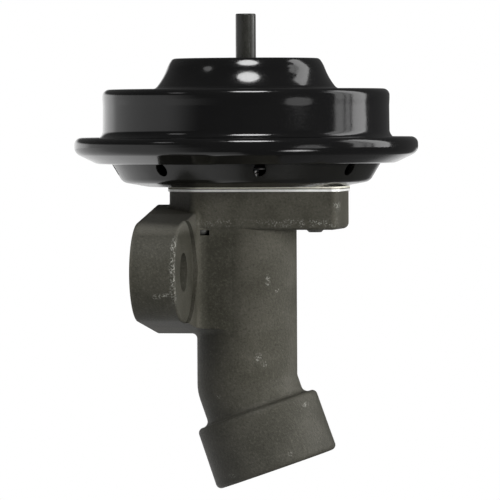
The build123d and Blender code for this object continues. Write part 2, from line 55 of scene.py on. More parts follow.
mm = 0.001
stem_x = 21.4 * mm
camera_turn = math.radians(10)
camera_roll = math.radians(-0.28)
camera_distance = 1.2
camera_height = 36 * mm
aim_height = 4.55 * mm
aim_right = 0.78 * mm
to_camera = Vector((math.sin(camera_turn), -math.cos(camera_turn), 0))
to_right = Vector((math.cos(camera_turn), math.sin(camera_turn), 0))

lens = bpy.data.cameras.new("camera")
lens.sensor_width = 36
lens.lens = 360.3
lens.clip_end = 30
camera = bpy.data.objects.new("camera", lens)
bpy.context.scene.collection.objects.link(camera)
camera.location = Vector((stem_x, 0, camera_height)) + to_camera * camera_distance
aim = Vector((stem_x, 0, aim_height)) + to_right * aim_right
level_look = (aim - camera.location).to_track_quat("-Z", "Y")
camera.rotation_mode = "QUATERNION"
camera.rotation_quaternion = level_look @ Quaternion((0, 0, 1), camera_roll)
bpy.context.scene.camera = camera
bpy.context.scene.view_settings.view_transform = "Standard"

# ---- Studio ------------------------------------------------------------------------------
# A pale round floor below the valve, a white sweep behind and to the left, a tall softbox in
# three strips at the right, a round one high in front, small lamps for the enamel's gloss,
# and a dark room for the rest.


class Wire:
    """A socket's value in a finish. Arithmetic on it adds Math nodes."""

    def __init__(self, finish, socket):
        self.finish = finish
        self.socket = socket

    def math(self, operation, *values):
        return self.finish.node(
            "ShaderNodeMath", {"operation": operation}, dict(enumerate(values))
        )

    def __add__(self, other):
        return self.math("ADD", self, other)

    def __sub__(self, other):
        return self.math("SUBTRACT", self, other)

    def __mul__(self, other):
        return self.math("MULTIPLY", self, other)

    def __truediv__(self, other):
        return self.math("DIVIDE", self, other)

    def __pow__(self, other):
        return self.math("POWER", self, other)

    def __radd__(self, other):
        return self.math("ADD", other, self)

    def __rsub__(self, other):
        return self.math("SUBTRACT", other, self)

    def __rmul__(self, other):
        return self.math("MULTIPLY", other, self)

    def most(self, other):
        return self.math("MAXIMUM", self, other)

    def least(self, other):
        return self.math("MINIMUM", self, other)

    def ramp(self, start, end, low=0.0, high=1.0):
        """Goes smoothly from low to high while the value goes from start to end."""
        return self.finish.node(
            "ShaderNodeMapRange",
            {"interpolation_type": "SMOOTHSTEP"},
            {"Value": self, "From Min": start, "From Max": end, "To Min": low, "To Max": high},
        )

    def hump(self, start, end, soft):
        """1 between start and end, fading out over soft on each side."""
        return self.ramp(start - soft, start + soft) * self.ramp(end + soft, end - soft)


class Finish:
    """A procedural finish, built up node by node, for a material or for the world."""

    def __init__(self, name, owner=None):
        self.material = owner or bpy.data.materials.new(name)
        self.material.use_nodes = True
        self.tree = self.material.node_tree
        self.tree.nodes.clear()

    def node(self, kind, settings, values, out=0):
        """Adds a node, sets it up, fills or links its sockets, and gives one output."""
        made = self.tree.nodes.new(kind)
        for name, value in settings.items():
            setattr(made, name, value)
        for name, value in values.items():
            if isinstance(value, Wire):
                self.tree.links.new(value.socket, made.inputs[name])
            else:
                made.inputs[name].default_value = value
        return Wire(self, made.outputs[out]) if made.outputs else None

    def place(self, scale=(1, 1, 1), centre=(0, 0, 0)):
        """Object coordinates in millimetres from a centre. A scale above 1 squeezes the
        pattern along that axis."""
        spot = self.node("ShaderNodeTexCoord", {}, {}, "Object")
        return self.node(
            "ShaderNodeMapping",
            {"vector_type": "TEXTURE"},
            {"Vector": spot, "Location": centre, "Scale": [mm / part for part in scale]},
        )

    def split(self, spot):
        """The three parts of a vector, one wire each."""
        return [self.node("ShaderNodeSeparateXYZ", {}, {0: spot}, out) for out in range(3)]

    def axes(self, centre=(0, 0, 0)):
        """The three coordinates in millimetres from a centre."""
        return self.split(self.place(centre=centre))

    def noise(self, place, grain, detail=2.0, rough=0.5):
        """Cloudy noise about 0.5, with patches about grain millimetres wide."""
        return self.node(
            "ShaderNodeTexNoise",
            {},
            {"Vector": place, "Scale": 1 / grain, "Detail": detail, "Roughness": rough},
            "Fac",
        )

    def blend(self, mask, first, second):
        """One colour where the mask is 0 and another where it is 1."""
        return self.node(
            "ShaderNodeMix",
            {"data_type": "RGBA"},
            {0: mask, 6: first if isinstance(first, Wire) else (*first, 1),
             7: second if isinstance(second, Wire) else (*second, 1)},
            2,
        )

    def bump(self, height, depth, under=None):
        """A relief that is depth millimetres deep where the height goes from 0 to 1."""
        values = {"Height": height, "Distance": depth * mm, "Strength": 1.0}
        if under:
            values["Normal"] = under
        return self.node("ShaderNodeBump", {}, values)

    def surface(self, **values):
        """The closing shader. Its sockets are named with _ for a space."""
        named = {name.replace("_", " "): value for name, value in values.items()}
        self.close(self.node("ShaderNodeBsdfPrincipled", {}, named))
        return self.material

    def close(self, shader, kind="ShaderNodeOutputMaterial"):
        """Links the last shader to the output node."""
        self.node(kind, {}, {"Surface": shader})

    def seen_by(self, *rays):
        """1 for the named kinds of ray, 0 for the rest."""
        total, *others = [self.node("ShaderNodeLightPath", {}, {}, ray) for ray in rays]
        for other in others:
            total = total.most(other)
        return total


white = (1, 1, 1)
floor_z = -120 * mm
floor_r = 3
bpy.ops.object.select_all(action="DESELECT")
bpy.ops.mesh.primitive_circle_add(
    vertices=96, radius=floor_r, fill_type="TRIFAN", location=(stem_x, 0, floor_z)
)
floor = bpy.context.object
floor.name = "studio_floor"
floor.data.transform(floor.matrix_world)
floor.matrix_world.identity()
paper = Finish("pale_paper")
x, y, z = paper.axes(centre=(stem_x, 0, floor_z))
reach = (x * x + y * y) ** 0.5
seen = paper.seen_by("Is Camera Ray", "Is Transmission Ray")
matt_tone = paper.blend(seen, (0.20, 0.20, 0.19), (0.84, 0.84, 0.83))
matt = paper.node("ShaderNodeBsdfDiffuse", {}, {"Color": matt_tone})
# Away from the valve the floor goes over into the white of the background.
far_out = reach.ramp(150, 650)
glow = paper.node("ShaderNodeEmission", {}, {"Color": (*white, 1), "Strength": 1.0})
paper_shade = paper.node("ShaderNodeMixShader", {}, {0: far_out * seen, 1: matt, 2: glow})
# In gloss the floor is bright on its left, white far behind, and dark in front and at the
# right. How far a point lies towards the camera, and how far to its right, runs from -1 to 1.
floor_ahead = (x * to_camera.x + y * to_camera.y) / (reach + 1.0)
floor_aside = (x * to_right.x + y * to_right.y) / (reach + 1.0)
under_valve = reach.ramp(145, 110)
lit_left = (floor_ahead - under_valve * 0.3).ramp(0.97, 0.45)
lit_left = lit_left * floor_aside.ramp(-0.03, -0.16)
left_back = lit_left * floor_ahead.ramp(-0.2, -0.7) * 0.4
white_back = floor_ahead.ramp(-0.93, -0.99) * reach.ramp(200, 290)
mirrored_level = (lit_left * 0.8 + left_back).most(white_back)
mirrored_tone = paper.blend(mirrored_level, (0.1, 0.1, 0.1), white)
mirrored = paper.node("ShaderNodeEmission", {}, {"Color": mirrored_tone, "Strength": 1.0})
in_gloss = paper.seen_by("Is Glossy Ray")
paper_shade = paper.node("ShaderNodeMixShader", {}, {0: in_gloss, 1: paper_shade, 2: mirrored})
# From below it can be seen through.
back = paper.node("ShaderNodeNewGeometry", {}, {}, "Backfacing")
clear = paper.node("ShaderNodeBsdfTransparent", {}, {})
paper.close(paper.node("ShaderNodeMixShader", {}, {0: back, 1: paper_shade, 2: clear}))
floor.data.materials.append(paper.material)

world = bpy.data.worlds.new("studio")
bpy.context.scene.world = world
room = Finish("studio", world)
x, y, z = room.split(room.node("ShaderNodeTexCoord", {}, {}, "Generated"))
flat = (x * x + y * y + 1e-6) ** 0.5
# How far a direction points to the camera, and how far to its right, from -1 to 1.
ahead = (x * to_camera.x + y * to_camera.y) / flat
aside = (x * to_right.x + y * to_right.y) / flat
left_half = aside.ramp(0.15, -0.25)
sweep = left_half * ahead.ramp(0.92, 0.35, 0.0, 0.8)
behind = left_half * ahead.ramp(-0.6, -0.74, 0.0, 0.5)
# A mirror shows the sweep only low down, and matt surfaces get more light from it.
mirror_level = ((sweep + behind) * z.ramp(0.05, 0.2, 1.0, 0.0)).most(0.10)
fill_level = ((sweep + behind) * z.ramp(0.1, 0.45, 0.5, 1.1)).most(0.14)
glossy = room.seen_by("Is Glossy Ray")
seen = room.seen_by("Is Camera Ray", "Is Transmission Ray")
room_level = mirror_level * glossy + fill_level * (1.0 - glossy)
room_level = room_level * (1.0 - seen) + seen
room.close(
    room.node("ShaderNodeBackground", {}, {"Color": (*white, 1), "Strength": room_level}),
    "ShaderNodeOutputWorld",
)


def softbox(name, turn, rise, distance, width, height, level, aim_out=0, aim_z=20):
    """A lamp turned to a point on the stem's line, or aim_out millimetres out from it towards
    the lamp. Turn is counted from the camera's side to the right, and rise from level, in
    degrees. The level is the brightness that a mirror would show."""
    lamp = bpy.data.lights.new(name, "AREA")
    lamp.shape = "RECTANGLE"
    lamp.size = width
    lamp.size_y = height
    lamp.energy = level * math.pi * width * height
    turn = math.radians(turn)
    rise = math.radians(rise)
    away = to_camera * math.cos(turn) + to_right * math.sin(turn)
    aim = Vector((stem_x, 0, aim_z * mm)) + away * aim_out * mm
    away = away * math.cos(rise)
    away.z = math.sin(rise)
    box = bpy.data.objects.new(name, lamp)
    bpy.context.scene.collection.objects.link(box)
    box.location = aim + away * distance
    box.rotation_mode = "QUATERNION"
    box.rotation_quaternion = away.to_track_quat("Z", "Y")
    box.visible_camera = False
    return box


# Where each strip at the right starts and ends, its top edge, in degrees, and its level.
strips = [(75, 84.6, 40, 2.2), (86.2, 91.2, 40, 2.2), (93, 111.3, 50, 3.5)]
strip_bottom = -16
strip_distance = 1.6
for strip, (start, end, top, level) in enumerate(strips):
    strip_w = 2 * strip_distance * math.tan(math.radians(end - start) / 2)
    strip_h = 2 * strip_distance * math.tan(math.radians(top - strip_bottom) / 2)
    turn = (start + end) / 2
    rise = (top + strip_bottom) / 2
    softbox(f"right_softbox_{strip}", turn, rise, strip_distance, strip_w, strip_h, level)
overhead = softbox("overhead_softbox", 4.5, 59, 1.5, 0.60, 0.50, 12.5)
overhead.data.shape = "ELLIPSE"
left_spot = softbox("left_spot", -64, 36, 1.5, 0.34, 0.28, 1.6)
left_spot.data.shape = "ELLIPSE"
# Two small lamps near the valve show only in gloss, and a far one lights only matt surfaces.
# The low one's beam is narrowed to the front of the brim, which makes its middle brighter.
beam_gain = 68
low_softbox = softbox(
    "low_softbox", 41, -42.3, 0.1333, 0.078, 0.096, 14 / beam_gain, aim_out=40, aim_z=36
)
low_softbox.data.spread = math.radians(24)
low_softbox.visible_diffuse = False
low_edge = softbox("low_softbox_edge", 40, -3, 0.25, 0.10, 0.06, 1.1)
low_edge.data.shape = "ELLIPSE"
low_edge.visible_diffuse = False
front_fill = softbox("front_fill", 44, 4, 1.5, 0.6, 0.5, 30)
front_fill.visible_glossy = False

# ---- Casting -----------------------------------------------------------------------------
# The valve's body is grey cast iron, sand cast in one piece and left with its fine sand skin.
# It is dark olive grey, a little browner in patches, and scuffed to bare metal on its edges.


def dress(finish, *names):
    """Gives CAD nodes their finish in place of the plain one."""
    for name in names:
        for slot in nodes[name].material_slots:
            slot.material = finish


olive_grey = (0.046, 0.044, 0.034)
pale_olive = (0.064, 0.061, 0.049)
cool_grey = (0.022, 0.0225, 0.0215)
# Painted shade colour for the pocket behind the flange and the lobe's face.
painted_shade_grey = (0.018, 0.018, 0.013)
pit_black = (0.017, 0.017, 0.013)
# Painted light colour for the lobe's top ledge.
painted_light_grey = (0.115, 0.112, 0.098)
sand_grey = (0.12, 0.115, 0.095)
bare_iron = (0.30, 0.30, 0.27)
bolt_y = 25.4
iron = Finish("sand_cast_iron")
iron_place = iron.place()
patches = iron.noise(iron_place, 9.0, 3.0)
sand = iron.noise(iron_place, 0.55, 3.0, 0.65)
pits = iron.noise(iron_place, 0.22, 2.0, 0.6)
scuff_noise = iron.noise(iron_place, 0.42, 3.0, 0.6)
clumps = iron.noise(iron_place, 2.4, 2.0)
x, y, z = iron.axes()
iron_tone = iron.blend(patches.ramp(0.35, 0.65), olive_grey, pale_olive)
iron_tone = iron.blend(z.ramp(-18, -46, 0.0, 0.3), iron_tone, cool_grey)
# Painted shade darkens the pocket behind the flange and the lobe's face, and painted light
# brightens the lobe's top ledge.
pocket_painted_shade = x.ramp(24, 16) * x.ramp(10.8, 11.8) * y.hump(-12.6, 12.6, 0.5) * z.hump(-22, 9, 3)
lobe_painted_light_and_shade = x.hump(0.5, 11.6, 0.4) * y.ramp(-13.5, -15)
iron_tone = iron.blend(pocket_painted_shade * 0.5, iron_tone, painted_shade_grey)
# Painted shade on the lobe's face below its top, and painted light on its top ledge.
iron_tone = iron.blend(lobe_painted_light_and_shade * z.ramp(10, 8.5) * 0.42, iron_tone, painted_shade_grey)
iron_tone = iron.blend(lobe_painted_light_and_shade * z.ramp(8.5, 11) * 0.6, iron_tone, painted_light_grey)
iron_tone = iron.blend(sand.ramp(0.5, 0.78, 0.0, 0.34), iron_tone, sand_grey)
iron_tone = iron.blend(sand.ramp(0.5, 0.25, 0.0, 0.5), iron_tone, pit_black)


def scuffed_spot(across, height, half_w, half_h):
    """A small scuff on the casting's front, in millimetres along X and Z."""
    far = ((x - across) / half_w) ** 2 + ((z - height) / half_h) ** 2
    return far.ramp(1.6, 0.2) * y.ramp(-2, -4)


# The flange's lobe is worn round its near bolt hole and scratched beside it, and the head
# block along its lower edge and at its end.
lobe_reach = ((y + bolt_y) ** 2 + z ** 2) ** 0.5
lobe_rim = lobe_reach.ramp(10.3, 11.3) * x.ramp(9.2, 10.2) * y.ramp(-26, -31)
lobe_rim = lobe_rim * z.hump(-6.5, 8, 2.0)
lobe_scratch = (z + 5.2 - 0.12 * (x - 7.5)).hump(-0.5, 0.5, 0.45) * x.hump(5.2, 10, 0.8)
lobe_scratch = lobe_scratch * y.ramp(-33, -35)
block_edge = z.hump(10.3, 12.0, 0.6) * y.ramp(-11.0, -11.8) * x.hump(12, 46, 3.0)
block_edge = block_edge * x.ramp(27, 36, 0.5, 1.0) * clumps.ramp(0.36, 0.55)
block_end = z.hump(14.3, 16.2, 0.6) * x.ramp(44.0, 45.0) * y.hump(-12.5, -8, 0.6)
spots = [
    (26.1, -20.8, 0.9, 1.3),
    (27.4, -22.3, 0.5, 0.9),
    (28.2, -2.6, 0.6, 1.7),
    (30.2, -4.9, 0.5, 0.5),
    (16.2, -30.0, 0.6, 0.5),
    (36.8, -32.0, 0.7, 0.6),
    (19.8, -48.8, 1.0, 0.5),
    (34.0, -43.5, 0.5, 0.6),
]
wear = (lobe_rim * 0.9 + lobe_scratch * 0.8).least(1.0).most(block_edge * 0.8)
wear = wear.most(block_end * 0.8)
for spot in spots:
    wear = wear.most(scuffed_spot(*spot) * 0.6)
wear = wear * scuff_noise.ramp(0.50, 0.64)
iron_tone = iron.blend(wear, iron_tone, bare_iron)
dress(
    iron.surface(
        Base_Color=iron_tone,
        Roughness=wear.ramp(0, 1, 0.62, 0.42),
        Metallic=wear * 0.4,
        Specular_IOR_Level=0.3,
        Normal=iron.bump(sand * 0.7 + pits * 0.3, 0.14),
    ),
    "valve_body",
)

# ---- Inlet thread ------------------------------------------------------------------------
# The supply tube's nut screws into the boss. Its thread is tapped in the iron: one ridge of
# 1.5 mm pitch inside the bored hole, bright where the tap has passed.

inlet_tilt = math.radians(19.3)
boss_mouth = Vector((28.606, 0, -47.977)) * mm
inlet_out = Vector((math.sin(inlet_tilt), 0, -math.cos(inlet_tilt)))
thread_r = 11.2 * mm
thread_pitch = 1.5 * mm
thread_h = 0.86 * mm
thread_foot = 0.49 * thread_pitch
thread_crest = 0.06 * thread_pitch
thread_start = 1.2 * mm
thread_turns = 6
thread_steps = 64 * thread_turns
same_place = 1e-6


def new_piece(name, material, body, *replaced):
    """Settles the active object as a piece of the valve, with its place in its mesh."""
    piece = bpy.context.object
    piece.name = name
    piece.data.name = name
    piece.data.transform(piece.matrix_world)
    piece.matrix_world.identity()
    piece.data.materials.clear()
    piece.data.materials.append(material)
    if replaced:
        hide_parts(*replaced)
    if body:
        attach(piece, body)
    piece.select_set(False)
    return piece


def draw_line(points, closed=False):
    """Extrudes a line of edges from point to point, and stays in edit mode. A closed line
    gets its last edge and a face."""
    bpy.ops.object.select_all(action="DESELECT")
    bpy.ops.mesh.primitive_plane_add(size=mm, location=(0, 0, 0))
    bpy.ops.object.mode_set(mode="EDIT")
    bpy.ops.mesh.merge(type="CENTER")
    bpy.ops.transform.translate(value=points[0])
    for here, there in zip(points, points[1:]):
        bpy.ops.mesh.extrude_region_move(
            TRANSFORM_OT_translate={"value": Vector(there) - Vector(here)}
        )
    if closed:
        bpy.ops.object.mode_set(mode="OBJECT")
        line = bpy.context.object.data
        ends = (Vector(points[0]), Vector(points[-1]))
        for vertex in line.vertices:
            vertex.select = min((vertex.co - end).length for end in ends) < same_place
        bpy.ops.object.mode_set(mode="EDIT")
        bpy.ops.mesh.edge_face_add()
    return bpy.context.object


tapped = Finish("tapped_iron")
tapped_place = tapped.place()
tapped_marks = tapped.noise(tapped_place, 0.4, 3.0)
tapped_metal = tapped.surface(
    Base_Color=tapped.blend(tapped_marks, (0.10, 0.098, 0.09), (0.24, 0.235, 0.22)),
    Metallic=0.8,
    Roughness=tapped_marks.ramp(0.3, 0.7, 0.38, 0.55),
    Normal=tapped.bump(tapped_marks, 0.02),
)
thread = draw_line(
    [
        (thread_r, 0, -thread_foot),
        (thread_r - thread_h, 0, -thread_crest),
        (thread_r - thread_h, 0, thread_crest),
        (thread_r, 0, thread_foot),
    ],
    closed=True,
)
bpy.ops.object.mode_set(mode="OBJECT")
wind = thread.modifiers.new("wind", "SCREW")
wind.axis = "Z"
wind.angle = 2 * math.pi * thread_turns
wind.screw_offset = thread_pitch * thread_turns
wind.steps = thread_steps
wind.render_steps = thread_steps
bpy.ops.object.modifier_apply(modifier="wind")
bpy.ops.object.mode_set(mode="EDIT")
bpy.ops.mesh.select_all(action="SELECT")
bpy.ops.mesh.fill_holes(sides=4)
bpy.ops.mesh.normals_make_consistent(inside=False)
bpy.ops.object.mode_set(mode="OBJECT")
thread.data.transform((-inlet_out).to_track_quat("Z", "Y").to_matrix().to_4x4())
thread.location = boss_mouth - inlet_out * thread_start
bpy.context.view_layer.update()
new_piece("inlet_thread", tapped_metal, "housing")

# ---- Seat, guide and packing -------------------------------------------------------------
# A turned steel seat is pressed in below the outlet. A sintered iron bush guides the stem, and
# a graphite ring under a plated cap keeps the exhaust from climbing past it.

seat_finish = Finish("turned_seat_steel")
spin_marks = seat_finish.noise(seat_finish.place(scale=(0.2, 0.2, 6)), 1.0, 3.0)
dress(
    seat_finish.surface(
        Base_Color=seat_finish.blend(spin_marks, (0.36, 0.33, 0.29), (0.52, 0.49, 0.44)),
        Metallic=0.95,
        Roughness=spin_marks.ramp(0.3, 0.7, 0.24, 0.42),
        Normal=seat_finish.bump(spin_marks, 0.01),
    ),
    "valve_seat",
)
bush = Finish("sintered_iron")
pores = bush.noise(bush.place(), 0.18, 2.0, 0.7)
dress(
    bush.surface(
        Base_Color=bush.blend(pores.ramp(0.35, 0.6), (0.07, 0.065, 0.06), (0.25, 0.24, 0.22)),
        Metallic=0.7,
        Roughness=pores.ramp(0.3, 0.7, 0.6, 0.4),
        Normal=bush.bump(pores, 0.03),
    ),
    "guide_bushing",
)
graphite = Finish("graphite_packing")
braid = graphite.noise(graphite.place(scale=(1, 1, 3)), 0.35, 3.0)
dress(
    graphite.surface(
        Base_Color=graphite.blend(braid, (0.018, 0.018, 0.019), (0.075, 0.075, 0.08)),
        Metallic=0.2,
        Roughness=braid.ramp(0.3, 0.7, 0.65, 0.42),
        Normal=graphite.bump(braid, 0.06),
    ),
    "stem_packing",
)

# ---- Plated and phosphated pieces --------------------------------------------------------
# The packing's cap, the housing screws' washers, the cup, nut and washers on the stem and the
# spring's upper seat are pressed or turned steel, bright zinc plated. The two screws and the
# plate under the diaphragm are phosphated dark grey instead.

zinc = Finish("zinc_plating")
bloom = zinc.noise(zinc.place(), 2.6, 3.0)
grain = zinc.noise(zinc.place(), 0.16, 2.0, 0.6)
zinc_tone = zinc.blend(bloom.ramp(0.35, 0.65), (0.44, 0.45, 0.47), (0.60, 0.60, 0.58))
zinc_tone = zinc.blend(grain.ramp(0.6, 0.8, 0.0, 0.5), zinc_tone, (0.30, 0.30, 0.29))
dress(
    zinc.surface(
        Base_Color=zinc_tone,
        Metallic=0.95,
        Roughness=bloom.ramp(0.3, 0.7, 0.27, 0.44),
        Normal=zinc.bump(grain, 0.008),
    ),
    "packing_retainer",
    "screw_washers",
    "shoulder_washer",
    "support_cup",
    "stem_washer",
    "stem_nut",
    "spring_seat",
)
phosphate = Finish("phosphated_steel")
phosphate_grain = phosphate.noise(phosphate.place(), 0.3, 3.0)
dress(
    phosphate.surface(
        Base_Color=phosphate.blend(phosphate_grain, (0.05, 0.05, 0.047), (0.17, 0.17, 0.16)),
        Metallic=0.4,
        Roughness=phosphate_grain.ramp(0.3, 0.7, 0.6, 0.45),
        Normal=phosphate.bump(phosphate_grain, 0.02),
    ),
    "housing_screws",
    "lower_plate",
)

# ---- Pintle and stem ---------------------------------------------------------------------
# The stem is ground steel. The pintle on its end is turned, then blued by heat and sooted by
# the exhaust towards its nose.

steel = Finish("ground_stem_steel")
stem_height = steel.axes()[2]
grinding = steel.noise(steel.place(scale=(0.3, 0.3, 9)), 1.0, 3.0)
soot_noise = steel.noise(steel.place(), 1.4, 4.0, 0.6)
heat = stem_height.ramp(2, -6)
soot = stem_height.ramp(-5, -14) * soot_noise.ramp(0.25, 0.6)
stem_tone = steel.blend(grinding, (0.50, 0.50, 0.50), (0.62, 0.61, 0.59))
stem_tone = steel.blend(heat * 0.6, stem_tone, (0.26, 0.20, 0.16))
stem_tone = steel.blend(soot * 0.85, stem_tone, (0.02, 0.019, 0.018))
dress(
    steel.surface(
        Base_Color=stem_tone,
        Metallic=1.0 - soot * 0.9,
        Roughness=0.22 + soot * 0.5 + grinding * 0.1,
        Normal=steel.bump(grinding, 0.006),
    ),
    "valve_stem",
    "pintle",
)

# ---- Heat shield and base gasket ---------------------------------------------------------
# A bright aluminised sheet lies on the casting, and a tan fibre gasket on the sheet, under the
# bowl. The gasket's cut edge is fuzzy, and dark where it meets the sheet.

sheet = Finish("aluminised_sheet")
spangle = sheet.noise(sheet.place(), 1.2, 3.0)
scratch = sheet.noise(sheet.place(scale=(0.25, 2.5, 2.5)), 0.5, 2.0)
dress(
    sheet.surface(
        Base_Color=sheet.blend(spangle.ramp(0.3, 0.7), (0.82, 0.82, 0.80), (0.93, 0.93, 0.91)),
        Metallic=0.15,
        Roughness=scratch.ramp(0.3, 0.7, 0.30, 0.46),
        Normal=sheet.bump(scratch, 0.015),
    ),
    "heat_shield",
)
fibre = Finish("gasket_fibre")
felt = fibre.noise(fibre.place(scale=(0.4, 1.6, 1.6)), 0.30, 4.0, 0.6)
stain = fibre.noise(fibre.place(), 5.0, 2.0)
fibre_tone = fibre.blend(felt.ramp(0.3, 0.7), (0.58, 0.56, 0.47), (0.82, 0.80, 0.70))
fibre_tone = fibre.blend(stain.ramp(0.5, 0.75, 0.0, 0.5), fibre_tone, (0.26, 0.24, 0.19))
fibre_z = fibre.axes()[2]
fibre_tone = fibre.blend(fibre_z.ramp(19.52, 19.38), fibre_tone, (0.035, 0.031, 0.022))
dress(
    fibre.surface(
        Base_Color=fibre_tone,
        Roughness=0.85,
        Specular_IOR_Level=0.3,
        Normal=fibre.bump(felt, 0.06),
    ),
    "base_gasket",
)

# ---- Lower bowl --------------------------------------------------------------------------
# The bowl is pressed from 1 mm sheet, vented by eight punched holes, and enamelled black
# before the cover's rim is rolled round its flange.


smooth_angle = math.radians(35)
bend_step = 5  # degrees of a bend's arc in one segment


def turned(corners, segments, wall=0.0, closed=False):
    """Spins a line round the stem. A corner is (radius, height, bend radius), in millimetres.
    A line that isn't closed gets a wall on its inner side."""
    points = [(radius * mm + stem_x, 0, height * mm) for radius, height, bend in corners]
    piece = draw_line(points, closed)
    count = len(points)
    for number in range(count):
        bend = corners[number][2]
        if not bend:
            continue
        here = Vector(points[number])
        before = Vector(points[number - 1]) - here
        after = Vector(points[(number + 1) % count]) - here
        corner = before.angle(after)
        bpy.ops.mesh.select_all(action="DESELECT")
        bpy.ops.object.mode_set(mode="OBJECT")
        for vertex in piece.data.vertices:
            vertex.select = (vertex.co - here).length < same_place
        bpy.ops.object.mode_set(mode="EDIT")
        # The profile that makes the bevel a true arc depends on the corner.
        half = math.sin(corner / 2)
        bpy.ops.mesh.bevel(
            affect="VERTICES",
            offset=bend * mm / math.tan(corner / 2),
            segments=max(3, round(math.degrees(math.pi - corner) / bend_step)),
            profile=((1 + 2 * half) / (2 + 2 * half)) ** 2,
            clamp_overlap=False,
        )
    if closed:
        bpy.ops.mesh.select_all(action="SELECT")
        bpy.ops.mesh.delete(type="ONLY_FACE")
    bpy.ops.mesh.select_all(action="SELECT")
    bpy.ops.mesh.spin(
        steps=segments, angle=2 * math.pi, center=(stem_x, 0, 0), axis=(0, 0, 1)
    )
    bpy.ops.mesh.select_all(action="SELECT")
    bpy.ops.mesh.remove_doubles(threshold=same_place)
    bpy.ops.mesh.normals_make_consistent(inside=False)
    bpy.ops.object.mode_set(mode="OBJECT")
    if wall:
        sheet_metal = piece.modifiers.new("wall", "SOLIDIFY")
        sheet_metal.thickness = wall * mm
        sheet_metal.offset = -1
        sheet_metal.use_even_offset = True
        bpy.ops.object.modifier_apply(modifier="wall")
    bpy.ops.object.shade_smooth_by_angle(angle=smooth_angle)
    return piece


wall_slope = math.tan(math.radians(30.9))
bowl_z = 19.85
bowl_t = 1.0
bowl_hole_r = 4.4
bowl_turn_r = 29.6
bowl_turn_z = bowl_z + 1.1
bowl_floor_r = bowl_turn_r - 6.1
bowl_flange_z = 26.6
bowl_edge_r = 39.5
rim_roll_r = 35.7
roll_slope = 2.65 / 5.5
flange_rise = 1.25  # from the rolled rim's edge up to the flange
flange_bend_r = rim_roll_r - flange_rise * math.tan(math.atan(roll_slope) / 2)
bowl_edge_z = bowl_flange_z + (bowl_edge_r - flange_bend_r) * roll_slope
vent_r = 1.55
vent_z = bowl_z + 4.25
vent_count = 8
first_vent = -74.3
punch_len = 6
enamel_ior = 1.5


def bowl_wall_r(height):
    """The bowl's outer radius at a height on its sloping wall."""
    return bowl_turn_r + (height - bowl_turn_z) * wall_slope


bowl_enamel = Finish("thin_black_enamel")
bowl_wave = bowl_enamel.noise(bowl_enamel.place(), 5.0, 1.0)
bowl_grain = bowl_enamel.noise(bowl_enamel.place(), 0.5, 2.0, 0.6)
bowl_tone = bowl_enamel.blend(bowl_wave, (0.0042, 0.0042, 0.0036), (0.0066, 0.0066, 0.0056))
bowl_black = bowl_enamel.surface(
    Base_Color=bowl_tone,
    Roughness=bowl_grain.ramp(0.3, 0.7, 0.17, 0.25),
    IOR=enamel_ior,
    Normal=bowl_enamel.bump(bowl_grain, 0.006, bowl_enamel.bump(bowl_wave, 0.05)),
)
# The outer face, from the hole round the guide over the floor and wall to the flange.
bowl = turned(
    [
        (bowl_hole_r, bowl_z, 0),
        (bowl_floor_r, bowl_z, 6.0),
        (bowl_turn_r, bowl_turn_z, 2.4),
        (bowl_wall_r(bowl_flange_z), bowl_flange_z, 0.6),
        (flange_bend_r, bowl_flange_z, 3.0),
        (bowl_edge_r, bowl_edge_z, 0),
    ],
    240,
    wall=bowl_t,
)


def punch(piece, cutters):
    """Cuts the cutters out of a piece and deletes them."""
    bpy.ops.object.select_all(action="DESELECT")
    for cutter in cutters:
        cutter.select_set(True)
    bpy.context.view_layer.objects.active = cutters[0]
    bpy.ops.object.join()
    tool = bpy.context.object
    hole = piece.modifiers.new("hole", "BOOLEAN")
    hole.operation = "DIFFERENCE"
    hole.solver = "EXACT"
    hole.object = tool
    bpy.context.view_layer.objects.active = piece
    bpy.ops.object.modifier_apply(modifier="hole")
    bpy.data.objects.remove(tool)
    bpy.ops.object.select_all(action="DESELECT")
    piece.select_set(True)
    bpy.ops.object.shade_smooth_by_angle(angle=smooth_angle)


punches = []
for vent in range(vent_count):
    turn = math.radians(first_vent + vent * 360 / vent_count)
    out = bowl_wall_r(vent_z) * mm
    bpy.ops.mesh.primitive_cylinder_add(
        vertices=40,
        radius=vent_r * mm,
        depth=punch_len * mm,
        location=(stem_x + out * math.cos(turn), out * math.sin(turn), vent_z * mm),
        rotation=(0, math.pi / 2, turn),
    )
    punches.append(bpy.context.object)
punch(bowl, punches)
bowl = new_piece("lower_bowl_enamelled", bowl_black, "housing", "lower_bowl")

# ---- Diaphragm ---------------------------------------------------------------------------
# Fabric-reinforced rubber, moulded with a slack web between the plates and the rim and a bead
# that the two pressings clamp. In the valve its middle moves with the stem and its bead stays;
# here the moulding is one piece, attached to neither.

rubber = Finish("diaphragm_rubber")
weave = rubber.noise(rubber.place(scale=(1, 1, 0.4)), 0.35, 2.0)
dust = rubber.noise(rubber.place(), 4.0, 3.0)
rubber_tone = rubber.blend(dust.ramp(0.4, 0.75), (0.012, 0.012, 0.012), (0.036, 0.034, 0.032))
rubber_black = rubber.surface(
    Base_Color=rubber_tone,
    Roughness=weave.ramp(0.3, 0.7, 0.5, 0.68),
    Specular_IOR_Level=0.4,
    Normal=rubber.bump(weave, 0.03),
)
web_z = 25.4
web_t = 0.9
web_hole_r = 2.05
bead_end_r = 39.2
# The lower face out to the bead's end, then the upper face back to the stem.
turned(
    [
        (web_hole_r, web_z, 0),
        (22.65, web_z, 4.0),
        (31.98, 27.85, 1.5),
        (34.9, 28.75, 1.0),
        (36.6, 28.43, 0.3),
        (bead_end_r, 29.62, 0.4),
        (bead_end_r, 30.30, 0.4),
        (36.6, 29.95, 0.3),
        (34.9, 29.65, 1.0),
        (31.68, 28.78, 1.5),
        (22.42, web_z + web_t, 4.0),
        (web_hole_r, web_z + web_t, 0),
    ],
    160,
    closed=True,
)
web = new_piece("diaphragm_moulding", rubber_black, None, "diaphragm")
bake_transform(web)

